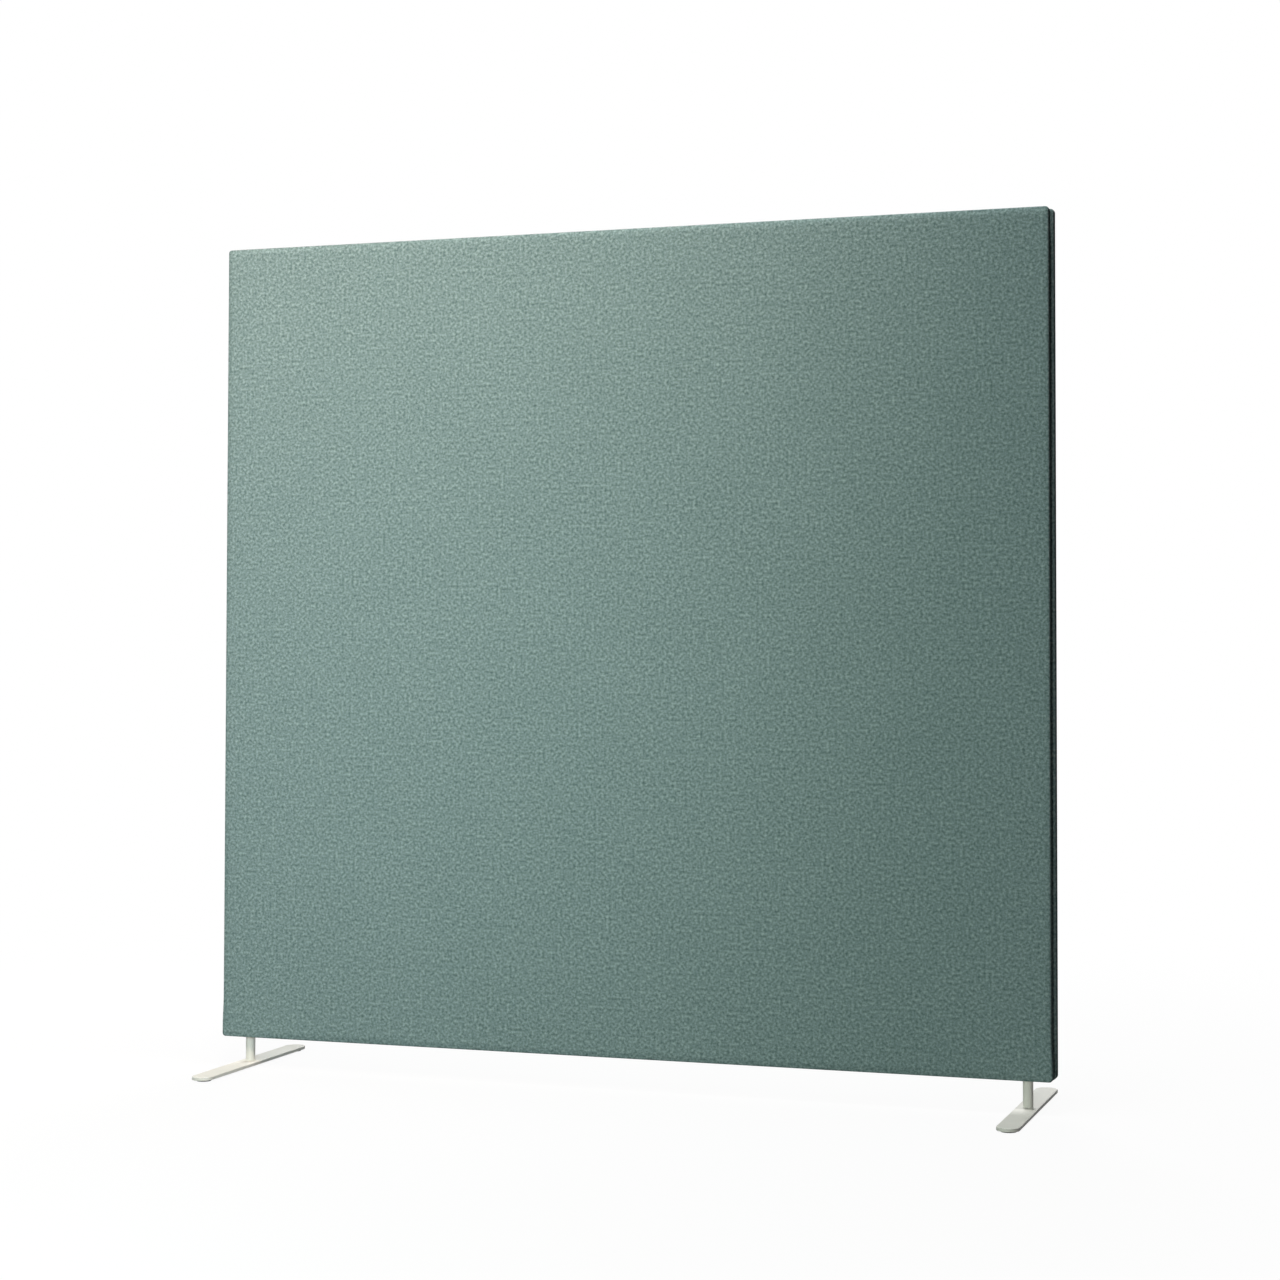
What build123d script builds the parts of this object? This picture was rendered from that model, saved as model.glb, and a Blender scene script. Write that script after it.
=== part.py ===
# Free-standing acoustic screen: an upholstered panel on two flat bar feet.
# Millimetres. Origin on the floor under the panel's middle, +X along the panel,
# +Y from the front face to the rear face, +Z up.
from build123d import *
import os
from math import radians, tan

os.makedirs("parts", exist_ok=True)

# Panel
panel_width = 1600.0
panel_height = 1520.0
panel_thickness = 60.0
floor_gap = 57.5  # from the floor to the panel's underside
corner_radius = 6.0  # the panel's corners, seen from the front
edge_radius = 5.0  # along the front and rear faces

# Cover and wadding
fabric_thickness = 1.5
face_wadding = 6.0
side_wadding = 7.0
groove_width = 15.0  # between the lips of the two cover halves
lip_radius = 4.5
groove_foot = 12.0  # the sides are closed this far above the underside

# Timber frame
stile_width = 40.0
centre_stile_width = 45.0
top_rail_height = 40.0
bottom_rail_height = 60.0
frame_bend = 12.0  # the frame's top corners, which the zip goes round
septum_thickness = 3.0
septum_engagement = 7.0  # how far a septum board enters the timber
septum_fit = 0.2
slab_fit = 0.3  # round each absorber slab
dowel_radius = 4.0
dowel_length = 50.0
dowel_spacing = 24.0
dowel_fit = 0.05

# Zip
tape_thickness = 0.6
tape_width = 9.0  # from the row of teeth outwards
row_width = 2.95
row_thickness = 3.0
row_gap = 0.3  # between the two rows
zip_channel_width = 17.0  # routed in the frame behind the tapes
zip_channel_depth = 4.0
zip_rise = 46.0  # from the panel's underside to the slider's nose
stop_length = 5.0
stop_overhang = 0.35  # how far a stop or the end box stands out past its row
stop_gap = 0.4
end_box_length = 9.0

# Slider and pull
slider_length = 18.0
slider_nose_half = 4.6
slider_shoulder_half = 6.4
slider_tail_half = 5.0
slider_shoulder_at = 3.4  # along the slider, from the nose
slider_waist_at = 10.5
row_split = 11.0  # from the nose to where the two rows part
wing_thickness = 1.5
slider_clearance = 0.25  # between a wing and the teeth
flange_clearance = 0.5  # between a flange and a row
slit_clearance = 0.35  # between a flange and the tape
row_spread = 1.7  # how far each row is pushed aside at the nose
divider_clearance = 0.3
divider_start = 0.6  # from the nose
divider_end = 8.0
bridge_width = 2.4
bridge_thickness = 1.2
bridge_rise = 2.3  # clear height under the bridge
bridge_start = 3.6
bridge_leg = 1.6
bridge_length = 11.0
bridge_radius = 1.5
slider_round = 1.0
pull_thickness = 1.6
pull_fit = 0.3
pull_side_fit = 0.4
pull_arm = 1.6
pull_eye = 6.0  # from the hinge line to the end of the eye
pull_length = 30.0
pull_grip_half = 4.0
pull_grip_at = 13.0
pull_hole_radius = 1.6
pull_end_round = 2.6
travel_end_gap = 5.0  # left above the slider at the top of its travel

# Feet
post_inset = 47.0  # from the panel's end to each post
post_radius = 9.0
foot_length = 420.0
foot_width = 40.0
foot_thickness = 6.0
foot_edge = 0.6
glide_radius = 14.0
glide_thickness = 3.0
glide_inset = 24.0  # from the end of the plate to the glide's middle
glide_edge = 0.4
washer_thickness = 1.0
washer_fit = 0.3
stud_radius = 6.0
stud_edge = 1.0
stud_in_post = 22.0
stud_in_socket = 30.0
thread_fit = 0.05
foot_screw_radius = 4.0
foot_screw_head = 8.0
foot_screw_reach = 18.0  # into the post
foot_screw_fit = 0.5
hex_socket = 2.5  # half across its flats
hex_socket_depth = 3.0
countersink_angle = 90.0

# Foot sockets in the bottom rail
socket_length = 60.0
socket_width = 36.0
socket_thickness = 3.0
socket_corner = 4.0
socket_fit = 0.2
sleeve_radius = 9.0
sleeve_length = 38.0
wood_screw_radius = 2.0
wood_screw_head = 4.0
wood_screw_length = 25.0
wood_screw_fit = 0.05
wood_screw_socket = 1.35
wood_screw_socket_depth = 2.0
screw_pitch_x = 44.0
screw_pitch_y = 22.0
eyelet_flange = 14.0
eyelet_thickness = 0.8
eyelet_edge = 0.4
eyelet_wall = 0.8
eyelet_fit = 0.4  # round the post
eyelet_hold = 0.1  # between the eyelet and the cover's hole

# Worked out from the above
panel_bottom = floor_gap
panel_top = floor_gap + panel_height
half_width = panel_width / 2
half_thickness = panel_thickness / 2
post_offset = half_width - post_inset
half_groove = groove_width / 2
frame_inset = fabric_thickness + side_wadding
frame_bottom = panel_bottom + fabric_thickness
frame_top = panel_top - frame_inset
frame_half = half_width - frame_inset
frame_depth = panel_thickness - 2 * (fabric_thickness + face_wadding)
bay_bottom = frame_bottom + bottom_rail_height
bay_top = frame_top - top_rail_height
bay_outer = frame_half - stile_width
bay_inner = centre_stile_width / 2
bay_middle = (bay_inner + bay_outer) / 2
stile_middle = frame_half - stile_width / 2

tape_depth = frame_inset - tape_thickness  # from the panel's side to the tape
tape_middle = frame_inset - tape_thickness / 2
row_outside = row_gap / 2 + row_width
row_nose = row_outside + row_spread
slider_z = panel_bottom + zip_rise
zip_end = slider_z - stop_gap
tape_end = panel_bottom + groove_foot / 2
tape_outside = row_outside + tape_width

foot_top = glide_thickness + foot_thickness
post_top = frame_bottom - washer_thickness
overrun = panel_thickness  # how far a cutter runs past what it cuts

top_plane = Plane(origin=(0, 0, panel_top), x_dir=(1, 0, 0), z_dir=(0, -1, 0))
side_signs = {"left": -1, "right": 1}


def zip_outline(depth, low, forward=0.0):
    """The panel's outline at a depth inside it, rounded where the zip goes round."""
    bend = frame_bend + frame_inset - depth
    with BuildSketch(top_plane.offset(forward)) as outline:
        with Locations((0, -depth)):
            Rectangle(
                panel_width - 2 * depth,
                panel_top - depth - low,
                align=(Align.CENTER, Align.MAX),
            )
        fillet(outline.vertices().group_by(Axis.Y)[-1], radius=bend)
    return outline.sketch


def zip_band(outer_depth, inner_depth, low, inner_y, outer_y):
    """A band up one side, over the top and down the other, in the front half."""
    with BuildPart() as band:
        extrude(zip_outline(outer_depth, low, inner_y), amount=outer_y - inner_y)
        extrude(
            zip_outline(inner_depth, low - overrun, inner_y),
            amount=outer_y - inner_y,
            mode=Mode.SUBTRACT,
        )
    return band.part


def half_form(inset):
    """The front half of the upholstery, drawn in from the cover's outside."""
    groove_end = panel_bottom + groove_foot + half_groove
    wall = half_groove + inset
    with BuildPart() as core:
        extrude(zip_outline(tape_depth, panel_bottom - overrun), amount=half_thickness)
    with BuildPart() as cutter:
        extrude(zip_outline(-overrun, groove_end), amount=wall)
        for sign in side_signs.values():
            with BuildSketch(Plane.YZ.offset(sign * half_width)):
                with Locations((0, groove_end)):
                    Circle(wall)
            extrude(amount=overrun, both=True)
        add(core.part, mode=Mode.SUBTRACT)
    with BuildPart() as form:
        with BuildSketch(top_plane):
            with Locations((0, -panel_height / 2)):
                RectangleRounded(
                    panel_width - 2 * inset,
                    panel_height - 2 * inset,
                    corner_radius - inset,
                )
        extrude(amount=half_thickness - inset)
        face = form.faces().sort_by(Axis.Y)[0]
        fillet(face.edges(), radius=edge_radius - inset)
        whole = form.part
        add(cutter.part, mode=Mode.SUBTRACT)
        lips = new_edges(whole, combined=form.part)
        lips = lips.filter_by(lambda edge: edge.distance_to(core.part) > tape_depth / 2)
        fillet(lips, radius=lip_radius - inset)
    return form.part


def eyelet_holes(radius):
    """Round cutters through the panel's underside, one for each post."""
    with BuildPart() as holes:
        for sign in side_signs.values():
            with BuildSketch(Plane.XY.offset(panel_bottom)):
                with Locations((sign * post_offset, 0)):
                    Circle(radius)
            extrude(amount=fabric_thickness, both=True)
    return holes.part


# Cover halves: a fabric skin, open inside, with the groove's lips rolled inwards
outer_form = half_form(0.0)
inner_form = half_form(fabric_thickness)
eyelet_inner = post_radius + eyelet_fit
eyelet_outer = eyelet_inner + eyelet_wall

with BuildPart() as front_cover:
    add(outer_form)
    add(inner_form, mode=Mode.SUBTRACT)
    add(eyelet_holes(eyelet_outer + eyelet_hold), mode=Mode.SUBTRACT)
front_cover.part.label = "front_cover"
export_step(front_cover.part, "parts/front_cover.step")

with BuildPart() as rear_cover:
    mirror(front_cover.part, about=Plane.XZ)
rear_cover.part.label = "rear_cover"
export_step(rear_cover.part, "parts/rear_cover.step")

# Wadding: fills each cover half down to the frame and the zip's tape
with BuildPart() as frame_block:
    extrude(zip_outline(frame_inset, frame_bottom), amount=frame_depth / 2)

with BuildPart() as front_wadding:
    add(inner_form)
    add(frame_block.part, mode=Mode.SUBTRACT)
    add(
        zip_band(tape_depth, frame_inset, tape_end, 0.0, tape_outside),
        mode=Mode.SUBTRACT,
    )
front_wadding.part.label = "front_wadding"
export_step(front_wadding.part, "parts/front_wadding.step")

with BuildPart() as rear_wadding:
    mirror(front_wadding.part, about=Plane.XZ)
rear_wadding.part.label = "rear_wadding"
export_step(rear_wadding.part, "parts/rear_wadding.step")

# Cutters for the frame: septum slots, dowel holes and the zip's channel
slot_thickness = septum_thickness + 2 * septum_fit
slot_depth = septum_engagement + septum_fit
with BuildPart() as septum_slots:
    for sign in side_signs.values():
        with BuildSketch(Plane.XZ):
            with Locations((sign * bay_middle, (bay_bottom + bay_top) / 2)):
                Rectangle(
                    bay_outer - bay_inner + 2 * slot_depth,
                    bay_top - bay_bottom + 2 * slot_depth,
                )
        extrude(amount=slot_thickness / 2, both=True)

with BuildPart() as zip_channel:
    channel = zip_band(
        frame_inset, frame_inset + zip_channel_depth, tape_end, 0.0, zip_channel_width / 2
    )
    add(channel)
    mirror(channel, about=Plane.XZ)

dowel_places = [
    (x, y, z)
    for x in (-stile_middle, 0.0, stile_middle)
    for y in (-dowel_spacing / 2, dowel_spacing / 2)
    for z in (bay_bottom, bay_top)
]


def dowels(radius, length):
    """All the dowels of the frame, centred on its joints."""
    with BuildPart() as pegs:
        with Locations(dowel_places):
            Cylinder(radius, length)
    return pegs.part


dowel_holes = dowels(dowel_radius + dowel_fit, dowel_length + 2 * dowel_fit)

# Frame: rails run the full width, stiles stand between them
stile_spans = {
    "left_stile": (-frame_half, -bay_outer),
    "centre_stile": (-bay_inner, bay_inner),
    "right_stile": (bay_outer, frame_half),
}
for name, (start, end) in stile_spans.items():
    with BuildPart() as stile:
        with BuildSketch(Plane.XZ):
            with Locations(((start + end) / 2, (bay_bottom + bay_top) / 2)):
                Rectangle(end - start, bay_top - bay_bottom)
        extrude(amount=frame_depth / 2, both=True)
        add(septum_slots.part, mode=Mode.SUBTRACT)
        add(zip_channel.part, mode=Mode.SUBTRACT)
        add(dowel_holes, mode=Mode.SUBTRACT)
    stile.part.label = name
    export_step(stile.part, f"parts/{name}.step")

with BuildPart() as top_rail:
    extrude(zip_outline(frame_inset, bay_top), amount=frame_depth / 2, both=True)
    add(septum_slots.part, mode=Mode.SUBTRACT)
    add(zip_channel.part, mode=Mode.SUBTRACT)
    add(dowel_holes, mode=Mode.SUBTRACT)
top_rail.part.label = "top_rail"
export_step(top_rail.part, "parts/top_rail.step")

screw_places = [
    (sign * post_offset + step_x * screw_pitch_x / 2, step_y * screw_pitch_y / 2)
    for sign in side_signs.values()
    for step_x in (-1, 1)
    for step_y in (-1, 1)
]

with BuildPart() as bottom_rail:
    with BuildSketch(Plane.XY.offset(frame_bottom)):
        Rectangle(2 * frame_half, frame_depth)
    extrude(amount=bottom_rail_height)
    add(septum_slots.part, mode=Mode.SUBTRACT)
    add(zip_channel.part, mode=Mode.SUBTRACT)
    add(dowel_holes, mode=Mode.SUBTRACT)
    with BuildSketch(Plane.XY.offset(frame_bottom)):
        for sign in side_signs.values():
            with Locations((sign * post_offset, 0)):
                RectangleRounded(
                    socket_length + 2 * socket_fit,
                    socket_width + 2 * socket_fit,
                    socket_corner,
                )
    extrude(amount=socket_thickness, mode=Mode.SUBTRACT)
    with BuildSketch(Plane.XY.offset(frame_bottom)):
        for sign in side_signs.values():
            with Locations((sign * post_offset, 0)):
                Circle(sleeve_radius + socket_fit)
    extrude(
        amount=socket_thickness + sleeve_length + socket_fit, mode=Mode.SUBTRACT
    )
    with BuildSketch(Plane.XY.offset(frame_bottom)):
        with Locations(screw_places):
            Circle(wood_screw_radius + wood_screw_fit)
    extrude(amount=wood_screw_length + 2 * wood_screw_fit, mode=Mode.SUBTRACT)
bottom_rail.part.label = "bottom_rail"
export_step(bottom_rail.part, "parts/bottom_rail.step")

with BuildPart() as frame_dowels:
    add(dowels(dowel_radius, dowel_length))
frame_dowels.part.label = "frame_dowels"
export_step(frame_dowels.part, "parts/frame_dowels.step")

# Septum boards and absorber slabs in the frame's two bays
for side, sign in side_signs.items():
    with BuildPart() as septum:
        with BuildSketch(Plane.XZ):
            with Locations((sign * bay_middle, (bay_bottom + bay_top) / 2)):
                Rectangle(
                    bay_outer - bay_inner + 2 * septum_engagement,
                    bay_top - bay_bottom + 2 * septum_engagement,
                )
        extrude(amount=septum_thickness / 2, both=True)
    septum.part.label = f"{side}_septum"
    export_step(septum.part, f"parts/{side}_septum.step")

    with BuildPart() as slab:
        with BuildSketch(Plane.XZ.offset(septum_thickness / 2)):
            with Locations((sign * bay_middle, (bay_bottom + bay_top) / 2)):
                Rectangle(
                    bay_outer - bay_inner - 2 * slab_fit,
                    bay_top - bay_bottom - 2 * slab_fit,
                )
        extrude(amount=(frame_depth - septum_thickness) / 2)
    slab.part.label = f"front_{side}_absorber"
    export_step(slab.part, f"parts/front_{side}_absorber.step")

    with BuildPart() as rear_slab:
        mirror(slab.part, about=Plane.XZ)
    rear_slab.part.label = f"rear_{side}_absorber"
    export_step(rear_slab.part, f"parts/rear_{side}_absorber.step")

# Zip tapes and rows of teeth. On the left side the rows part inside the slider.
slider_plane = Plane(
    origin=(tape_middle - half_width, 0, slider_z), x_dir=(0, -1, 0), z_dir=(-1, 0, 0)
)


def zip_lane(thickness, inside, inside_at_nose):
    """The space of the front row, or only what lies inside it if given its inner edge."""
    outer = tape_middle - thickness / 2
    inner = tape_middle + thickness / 2
    reach = inside if inside else row_outside
    reach_at_nose = inside_at_nose if inside else row_nose
    with BuildPart() as lane:
        add(zip_band(outer, inner, zip_end, 0.0, reach))
        with BuildSketch(Plane.XZ):
            with Locations((-half_width, slider_z)):
                Rectangle(panel_width / 2, 2 * row_split)
        extrude(amount=panel_thickness, both=True, mode=Mode.SUBTRACT)
        with BuildSketch(slider_plane):
            with BuildLine():
                Polyline(
                    (0, row_split), (reach, row_split), (reach_at_nose, 0), (0, 0), close=True
                )
            make_face()
        extrude(amount=thickness / 2, both=True)
    return lane.part


def stop_block(plane, width, length, middle):
    """A metal stop round the tape's middle, with its edges rounded."""
    height = row_thickness + 2 * stop_overhang
    with BuildPart() as block:
        with BuildSketch(plane):
            with Locations((middle, -stop_gap - length / 2)):
                Rectangle(width, length)
        extrude(amount=height / 2, both=True)
        fillet(block.edges().filter_by(Axis.Z), radius=stop_overhang)
    return block.part


right_plane = Plane(
    origin=(half_width - tape_middle, 0, slider_z), x_dir=(0, 1, 0), z_dir=(1, 0, 0)
)
stop_middle = row_nose - row_width / 2
with BuildPart() as zip_top_stops:
    for sign in side_signs.values():
        add(
            stop_block(
                slider_plane, row_width + 2 * stop_overhang, stop_length, sign * stop_middle
            )
        )
zip_top_stops.part.label = "zip_top_stops"
export_step(zip_top_stops.part, "parts/zip_top_stops.step")

with BuildPart() as zip_end_box:
    add(
        stop_block(
            right_plane, 2 * (row_outside + 2 * stop_overhang), end_box_length, 0.0
        )
    )
zip_end_box.part.label = "zip_end_box"
export_step(zip_end_box.part, "parts/zip_end_box.step")

with BuildPart() as front_zip_teeth:
    add(zip_lane(row_thickness, 0.0, 0.0))
    add(
        zip_lane(row_thickness + tape_thickness, row_gap / 2, row_gap / 2 + row_spread),
        mode=Mode.SUBTRACT,
    )
front_zip_teeth.part.label = "front_zip_teeth"
export_step(front_zip_teeth.part, "parts/front_zip_teeth.step")

with BuildPart() as front_zip_tape:
    add(zip_band(tape_depth, frame_inset, tape_end, row_gap, tape_outside))
    add(zip_lane(row_thickness, 0.0, 0.0), mode=Mode.SUBTRACT)
    add(zip_top_stops.part, mode=Mode.SUBTRACT)
    add(zip_end_box.part, mode=Mode.SUBTRACT)
front_zip_tape.part.label = "front_zip_tape"
export_step(front_zip_tape.part, "parts/front_zip_tape.step")

with BuildPart() as rear_zip_teeth:
    mirror(front_zip_teeth.part, about=Plane.XZ)
rear_zip_teeth.part.label = "rear_zip_teeth"
export_step(rear_zip_teeth.part, "parts/rear_zip_teeth.step")

with BuildPart() as rear_zip_tape:
    mirror(front_zip_tape.part, about=Plane.XZ)
rear_zip_tape.part.label = "rear_zip_tape"
export_step(rear_zip_tape.part, "parts/rear_zip_tape.step")

# Slider: two wings joined by the divider, flanges that hold the rows together,
# and a bridge for the pull. Its nose points down, towards the stops.
wing_inside = row_thickness / 2 + slider_clearance
wing_outside = wing_inside + wing_thickness
slit_half = tape_thickness / 2 + slit_clearance
channel_tail = row_outside + flange_clearance
channel_nose = row_nose + flange_clearance
bridge_top = wing_outside + bridge_rise + bridge_thickness


def spread_at(along):
    """The inner edge of a row at a distance from the slider's nose."""
    return row_gap / 2 + row_spread * (1 - along / row_split)


with BuildPart() as zip_slider:
    with BuildSketch(slider_plane) as wing_outline:
        with BuildLine():
            Polyline(
                (-slider_nose_half, 0),
                (slider_nose_half, 0),
                (slider_shoulder_half, slider_shoulder_at),
                (slider_tail_half, slider_waist_at),
                (slider_tail_half, slider_length),
                (-slider_tail_half, slider_length),
                (-slider_tail_half, slider_waist_at),
                (-slider_shoulder_half, slider_shoulder_at),
                close=True,
            )
        make_face()
        fillet(wing_outline.vertices(), radius=slider_round)
    extrude(amount=wing_outside, both=True)
    with BuildSketch(slider_plane):
        with BuildLine():
            Polyline(
                (-channel_nose, -overrun),
                (channel_nose, -overrun),
                (channel_nose, 0),
                (channel_tail, row_split),
                (channel_tail, overrun),
                (-channel_tail, overrun),
                (-channel_tail, row_split),
                (-channel_nose, 0),
                close=True,
            )
        make_face()
    extrude(amount=wing_inside, both=True, mode=Mode.SUBTRACT)
    with BuildSketch(slider_plane):
        Rectangle(2 * overrun, 2 * overrun)
    extrude(amount=slit_half, both=True, mode=Mode.SUBTRACT)
    with BuildSketch(slider_plane):
        with BuildLine():
            Polyline(
                (-spread_at(divider_start) + divider_clearance, divider_start),
                (spread_at(divider_start) - divider_clearance, divider_start),
                (spread_at(divider_end) - divider_clearance, divider_end),
                (-spread_at(divider_end) + divider_clearance, divider_end),
                close=True,
            )
        make_face()
    extrude(amount=wing_outside, both=True)
    with BuildSketch(Plane(slider_plane.origin, x_dir=(0, 0, 1), z_dir=(0, -1, 0))) as bridge:
        with Locations((bridge_start, wing_outside)):
            Rectangle(
                bridge_length,
                bridge_rise + bridge_thickness,
                align=(Align.MIN, Align.MIN),
            )
        fillet(bridge.vertices().group_by(Axis.Y)[-1], radius=bridge_radius)
        with Locations((bridge_start + bridge_leg, wing_outside)):
            Rectangle(
                bridge_length - 2 * bridge_leg,
                bridge_rise,
                align=(Align.MIN, Align.MIN),
                mode=Mode.SUBTRACT,
            )
    extrude(amount=bridge_width / 2, both=True)
zip_slider.part.label = "zip_slider"
export_step(zip_slider.part, "parts/zip_slider.step")

# Pull: a bar under the bridge, two arms round it and a grip that hangs down
pull_bar = pull_thickness / 2
pull_along = bridge_start + bridge_leg + pull_fit + pull_bar
pull_out = wing_outside + pull_fit + pull_bar
arm_inside = bridge_width / 2 + pull_side_fit
arm_outside = arm_inside + pull_arm
pull_plane = Plane(
    slider_plane.from_local_coords(Vector(0, pull_along, pull_out)),
    x_dir=slider_plane.x_dir,
    z_dir=slider_plane.z_dir,
)

with BuildPart() as zip_pull:
    with BuildSketch(pull_plane) as tab:
        with BuildLine():
            Polyline(
                (-arm_outside, 0),
                (arm_outside, 0),
                (arm_outside, -pull_eye),
                (pull_grip_half, -pull_grip_at),
                (pull_grip_half, -pull_length),
                (-pull_grip_half, -pull_length),
                (-pull_grip_half, -pull_grip_at),
                (-arm_outside, -pull_eye),
                close=True,
            )
        make_face()
        fillet(tab.vertices().group_by(Axis.Y)[0], radius=pull_end_round)
        with Locations((0, -pull_eye)):
            Rectangle(
                2 * arm_inside,
                2 * pull_eye,
                align=(Align.CENTER, Align.MIN),
                mode=Mode.SUBTRACT,
            )
        with Locations((0, pull_grip_half - pull_length)):
            Circle(pull_hole_radius, mode=Mode.SUBTRACT)
    extrude(amount=pull_bar, both=True)
    with BuildSketch(Plane(pull_plane.origin, x_dir=(0, 0, 1), z_dir=(0, -1, 0))):
        Circle(pull_bar)
    extrude(amount=arm_outside, both=True)
zip_pull.part.label = "zip_pull"
export_step(zip_pull.part, "parts/zip_pull.step")


def countersunk_screw(head, shank, length, socket, socket_depth):
    """A countersunk screw pointing up, with its head's face on the XY plane."""
    cone = (head - shank) / tan(radians(countersink_angle / 2))
    with BuildPart() as screw:
        with BuildSketch(Plane.XZ):
            with BuildLine():
                Polyline((0, 0), (head, 0), (shank, cone), (shank, length), (0, length), close=True)
            make_face()
        revolve(axis=Axis.Z)
        with BuildSketch(Plane.XY):
            RegularPolygon(socket, 6, major_radius=False)
        extrude(amount=socket_depth, mode=Mode.SUBTRACT)
    return screw.part


wood_screw = countersunk_screw(
    wood_screw_head,
    wood_screw_radius,
    wood_screw_length,
    wood_screw_socket,
    wood_screw_socket_depth,
)
with BuildPart() as socket_screws:
    for x, y in screw_places:
        with Locations((x, y, frame_bottom + wood_screw_fit)):
            add(wood_screw)
socket_screws.part.label = "socket_screws"
export_step(socket_screws.part, "parts/socket_screws.step")

foot_screw = countersunk_screw(
    foot_screw_head,
    foot_screw_radius,
    foot_thickness - foot_screw_fit + foot_screw_reach,
    hex_socket,
    hex_socket_depth,
)

# Feet, their sockets and eyelets, the same on both sides
for side, sign in side_signs.items():
    foot_plane = Plane(origin=(sign * post_offset, 0, 0))
    below = Plane(origin=(sign * post_offset, 0, 0), x_dir=(1, 0, 0), z_dir=(0, 0, -1))

    with BuildPart() as socket:
        with BuildSketch(foot_plane.offset(frame_bottom)):
            RectangleRounded(socket_length, socket_width, socket_corner)
        extrude(amount=socket_thickness)
        with BuildSketch(foot_plane.offset(frame_bottom + socket_thickness)):
            Circle(sleeve_radius)
        extrude(amount=sleeve_length)
        with BuildSketch(foot_plane.offset(frame_bottom)):
            Circle(stud_radius + thread_fit)
        extrude(amount=socket_thickness + sleeve_length, mode=Mode.SUBTRACT)
        with Locations(below.offset(-frame_bottom)):
            with GridLocations(screw_pitch_x, screw_pitch_y, 2, 2):
                CounterSinkHole(
                    wood_screw_radius + wood_screw_fit,
                    wood_screw_head + wood_screw_fit,
                    depth=socket_thickness,
                    counter_sink_angle=countersink_angle,
                )
    socket.part.label = f"{side}_foot_socket"
    export_step(socket.part, f"parts/{side}_foot_socket.step")

    with BuildPart() as eyelet:
        with BuildSketch(foot_plane.offset(panel_bottom - eyelet_thickness)):
            Circle(eyelet_flange)
        extrude(amount=eyelet_thickness)
        with BuildSketch(foot_plane.offset(panel_bottom)):
            Circle(eyelet_outer)
        extrude(amount=fabric_thickness)
        rim = eyelet.faces().sort_by(Axis.Z)[0]
        chamfer(rim.edges(), length=eyelet_edge)
        with BuildSketch(foot_plane.offset(panel_bottom - eyelet_thickness)):
            Circle(eyelet_inner)
        extrude(amount=eyelet_thickness + fabric_thickness, mode=Mode.SUBTRACT)
    eyelet.part.label = f"{side}_eyelet"
    export_step(eyelet.part, f"parts/{side}_eyelet.step")

    with BuildPart() as washer:
        with BuildSketch(foot_plane.offset(post_top)):
            Circle(post_radius)
            Circle(stud_radius + washer_fit, mode=Mode.SUBTRACT)
        extrude(amount=washer_thickness)
    washer.part.label = f"{side}_friction_washer"
    export_step(washer.part, f"parts/{side}_friction_washer.step")

    with BuildPart() as stud:
        with BuildSketch(foot_plane.offset(post_top - stud_in_post)):
            Circle(stud_radius)
        extrude(amount=stud_in_post + washer_thickness + socket_thickness + stud_in_socket)
        chamfer(stud.edges().filter_by(GeomType.CIRCLE), length=stud_edge)
    stud.part.label = f"{side}_foot_stud"
    export_step(stud.part, f"parts/{side}_foot_stud.step")

    with BuildPart() as post:
        with BuildSketch(foot_plane.offset(foot_top)):
            Circle(post_radius)
        extrude(amount=post_top - foot_top)
        with BuildSketch(foot_plane.offset(post_top - stud_in_post)):
            Circle(stud_radius + thread_fit)
        extrude(amount=stud_in_post, mode=Mode.SUBTRACT)
        with BuildSketch(foot_plane.offset(foot_top)):
            Circle(foot_screw_radius + thread_fit)
        extrude(amount=foot_screw_reach + thread_fit, mode=Mode.SUBTRACT)
    post.part.label = f"{side}_foot_post"
    export_step(post.part, f"parts/{side}_foot_post.step")

    with BuildPart() as plate:
        with BuildSketch(foot_plane.offset(glide_thickness)):
            SlotOverall(foot_length, foot_width, rotation=90)
        extrude(amount=foot_thickness)
        chamfer(plate.faces().filter_by(Axis.Z).edges(), length=foot_edge)
        with Locations(below.offset(-glide_thickness)):
            CounterSinkHole(
                foot_screw_radius + foot_screw_fit,
                foot_screw_head + foot_screw_fit,
                depth=foot_thickness,
                counter_sink_angle=countersink_angle,
            )
    plate.part.label = f"{side}_foot_plate"
    export_step(plate.part, f"parts/{side}_foot_plate.step")

    with BuildPart() as screw:
        with Locations(foot_plane.offset(glide_thickness + foot_screw_fit)):
            add(foot_screw)
    screw.part.label = f"{side}_foot_screw"
    export_step(screw.part, f"parts/{side}_foot_screw.step")

    with BuildPart() as glides:
        with BuildSketch(foot_plane):
            with Locations(
                (0, foot_length / 2 - glide_inset), (0, glide_inset - foot_length / 2)
            ):
                Circle(glide_radius)
        extrude(amount=glide_thickness)
        chamfer(glides.faces().sort_by(Axis.Z)[:2].edges(), length=glide_edge)
    glides.part.label = f"{side}_foot_glides"
    export_step(glides.part, f"parts/{side}_foot_glides.step")

bend_start = frame_top - frame_bend
print("slider travel:", round(bend_start - travel_end_gap - slider_z - slider_length, 1))
print("pull hinge at:", [round(v, 3) for v in pull_plane.origin])
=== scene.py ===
"""An upholstered acoustic screen on flat bar feet, dressed for a studio picture. Metres."""
from math import cos, pi, radians, sin

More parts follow.
